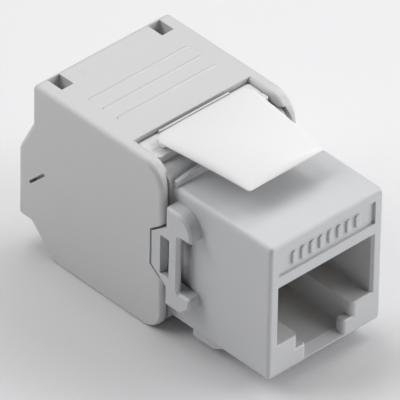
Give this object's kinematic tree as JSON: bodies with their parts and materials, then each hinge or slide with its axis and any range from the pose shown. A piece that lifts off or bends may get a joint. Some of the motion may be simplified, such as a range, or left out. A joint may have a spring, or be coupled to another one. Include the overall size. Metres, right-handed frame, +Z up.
{
  "type": "keystone jack",
  "caption": "Slim tool-less keystone jack with a plug port, a flexible snap latch and a slide-on rear cap with a cable inlet.",
  "frame": {"origin": "below the middle of the whole jack, on the flat underside of the rear cap", "axes": "-Y out of the plug port, +Y towards the cable, +Z up through the snap latch"},
  "size_m": [0.0176, 0.0334, 0.0207],
  "materials": {
    "grey_shell": "smooth satin moulded plastic, light grey",
    "white_latch": "smooth white moulded plastic",
    "board": "green solder mask on a laminate board",
    "dark_insert": "dark grey moulded insert",
    "pale_insert": "natural white moulded insert",
    "gold_spring": "gold plated phosphor bronze spring",
    "tinned_blade": "tin plated phosphor bronze blade"
  },
  "bodies": {
    "jack": {"front_housing": "grey_shell", "terminal_block": "grey_shell", "circuit_board": "board", "contact_carrier": "dark_insert", "latch_base": "grey_shell", "idc_blade_1": "tinned_blade", "idc_blade_2": "tinned_blade", "idc_blade_3": "tinned_blade", "idc_blade_4": "tinned_blade", "idc_blade_5": "tinned_blade", "idc_blade_6": "tinned_blade", "idc_blade_7": "tinned_blade", "idc_blade_8": "tinned_blade"},
    "latch": {"latch_arm": "white_latch"},
    "cap": {"rear_cap": "grey_shell", "wire_organizer": "pale_insert"},
    "contact_1_spring": {"contact_1": "gold_spring"},
    "contact_2_spring": {"contact_2": "gold_spring"},
    "contact_3_spring": {"contact_3": "gold_spring"},
    "contact_4_spring": {"contact_4": "gold_spring"},
    "contact_5_spring": {"contact_5": "gold_spring"},
    "contact_6_spring": {"contact_6": "gold_spring"},
    "contact_7_spring": {"contact_7": "gold_spring"},
    "contact_8_spring": {"contact_8": "gold_spring"}
  },
  "joints": [
    {"name": "latch_flex", "type": "hinge", "parent": "jack", "child": "latch", "pos_m": [0, -0.00005, 0.01985], "axis": [1, 0, 0], "range_deg": [0, 10], "stiffness_Nm_per_rad": 0.02},
    {"name": "cap_slide", "type": "slide", "parent": "jack", "child": "cap", "axis": [0, 1, 0], "range_m": [0, 0.012]},
    {"name": "contact_1_flex", "type": "hinge", "parent": "jack", "child": "contact_1_spring", "pos_m": [-0.00357, -0.0024, 0.0142], "axis": [-1, 0, 0], "range_deg": [0, 5], "stiffness_Nm_per_rad": 0.01},
    {"name": "contact_2_flex", "type": "hinge", "parent": "jack", "child": "contact_2_spring", "pos_m": [-0.00255, -0.0024, 0.0142], "axis": [-1, 0, 0], "range_deg": [0, 5], "stiffness_Nm_per_rad": 0.01},
    {"name": "contact_3_flex", "type": "hinge", "parent": "jack", "child": "contact_3_spring", "pos_m": [-0.00153, -0.0024, 0.0142], "axis": [-1, 0, 0], "range_deg": [0, 5], "stiffness_Nm_per_rad": 0.01},
    {"name": "contact_4_flex", "type": "hinge", "parent": "jack", "child": "contact_4_spring", "pos_m": [-0.00051, -0.0024, 0.0142], "axis": [-1, 0, 0], "range_deg": [0, 5], "stiffness_Nm_per_rad": 0.01},
    {"name": "contact_5_flex", "type": "hinge", "parent": "jack", "child": "contact_5_spring", "pos_m": [0.00051, -0.0024, 0.0142], "axis": [-1, 0, 0], "range_deg": [0, 5], "stiffness_Nm_per_rad": 0.01},
    {"name": "contact_6_flex", "type": "hinge", "parent": "jack", "child": "contact_6_spring", "pos_m": [0.00153, -0.0024, 0.0142], "axis": [-1, 0, 0], "range_deg": [0, 5], "stiffness_Nm_per_rad": 0.01},
    {"name": "contact_7_flex", "type": "hinge", "parent": "jack", "child": "contact_7_spring", "pos_m": [0.00255, -0.0024, 0.0142], "axis": [-1, 0, 0], "range_deg": [0, 5], "stiffness_Nm_per_rad": 0.01},
    {"name": "contact_8_flex", "type": "hinge", "parent": "jack", "child": "contact_8_spring", "pos_m": [0.00357, -0.0024, 0.0142], "axis": [-1, 0, 0], "range_deg": [0, 5], "stiffness_Nm_per_rad": 0.01}
  ]
}
